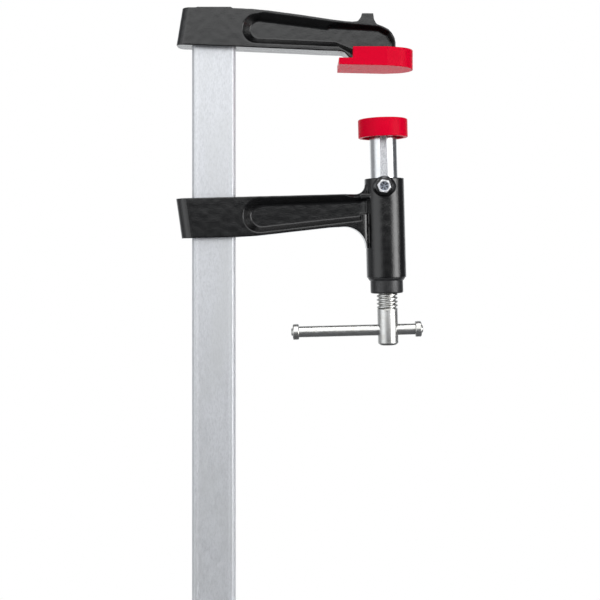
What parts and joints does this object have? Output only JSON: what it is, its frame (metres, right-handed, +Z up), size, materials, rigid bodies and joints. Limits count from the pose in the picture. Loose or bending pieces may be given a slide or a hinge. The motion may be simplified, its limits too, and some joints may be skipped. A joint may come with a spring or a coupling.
{
  "type": "quick release bar clamp",
  "caption": "Bar clamp with a cast fixed arm, a sliding arm that grips the rail by tilting, and a guided plunger driven by a spindle with a tommy bar.",
  "frame": {"origin": "on the fixed pad's clamping face, where the clamping axis meets it with the sliding arm square to the rail", "axes": "+Z up along the rail to the fixed arm, +X away from the rail across the throat, Y through the thickness"},
  "size_m": [0.1999, 0.0456, 0.5263],
  "materials": {
    "rail_steel": "drawn steel rail, satin zinc finish",
    "black_casting": "black enamel on cast iron, semi-gloss with cast grain",
    "red_plastic": "soft red moulded plastic",
    "bright_steel": "bright zinc-plated turned steel",
    "turned_steel": "turned and drawn steel, lightly oiled",
    "zinc_steel": "zinc-plated steel screw, satin",
    "black_steel": "black turned steel",
    "spring_steel": "spring steel",
    "plain_steel": "plain steel"
  },
  "bodies": {
    "root": {"rail": "rail_steel", "rail_end_stop": "plain_steel", "fixed_arm": "black_casting", "fixed_pad": "red_plastic"},
    "shoe": {"friction_shoe": "plain_steel"},
    "slider": {"sliding_arm": "black_casting", "grip_spring": "spring_steel", "guide_screw": "zinc_steel", "guide_screw_washer": "black_steel", "threaded_bush": "black_steel", "bush_lock_ring": "black_steel"},
    "ram": {"plunger": "bright_steel", "pressure_plate": "plain_steel", "plunger_cap": "red_plastic", "thrust_ball": "bright_steel", "retaining_ring": "spring_steel"},
    "screw": {"spindle": "turned_steel"},
    "tommy": {"tommy_bar": "turned_steel", "tommy_end_left": "turned_steel", "tommy_end_right": "turned_steel"}
  },
  "joints": [
    {"name": "arm_slide", "type": "slide", "parent": "root", "child": "shoe", "axis": [0, 0, 1], "range_m": [-0.3256, 0.025]},
    {"name": "arm_tilt", "type": "hinge", "parent": "shoe", "child": "slider", "pos_m": [-0.156, 0, -0.1205], "axis": [0, 1, 0], "range_deg": [0, 1.45], "stiffness_Nm_per_rad": 8, "springref_deg": -17.19},
    {"name": "plunger_slide", "type": "slide", "parent": "slider", "child": "ram", "axis": [-0.0253, 0, 0.9997], "range_m": [-0.03, 0.012]},
    {"name": "spindle_turn", "type": "hinge", "parent": "ram", "child": "screw", "pos_m": [0.00146, 0, -0.17603], "axis": [-0.0253, 0, 0.9997], "range_deg": [-3600, 1440]},
    {"name": "tommy_slide", "type": "slide", "parent": "screw", "child": "tommy", "axis": [0.9997, 0, 0.0253], "range_m": [-0.0135, 0.0635]}
  ],
  "couplings": [
    {"joint": "plunger_slide", "follows": "spindle_turn", "m_per_rad": 0.00047746}
  ]
}
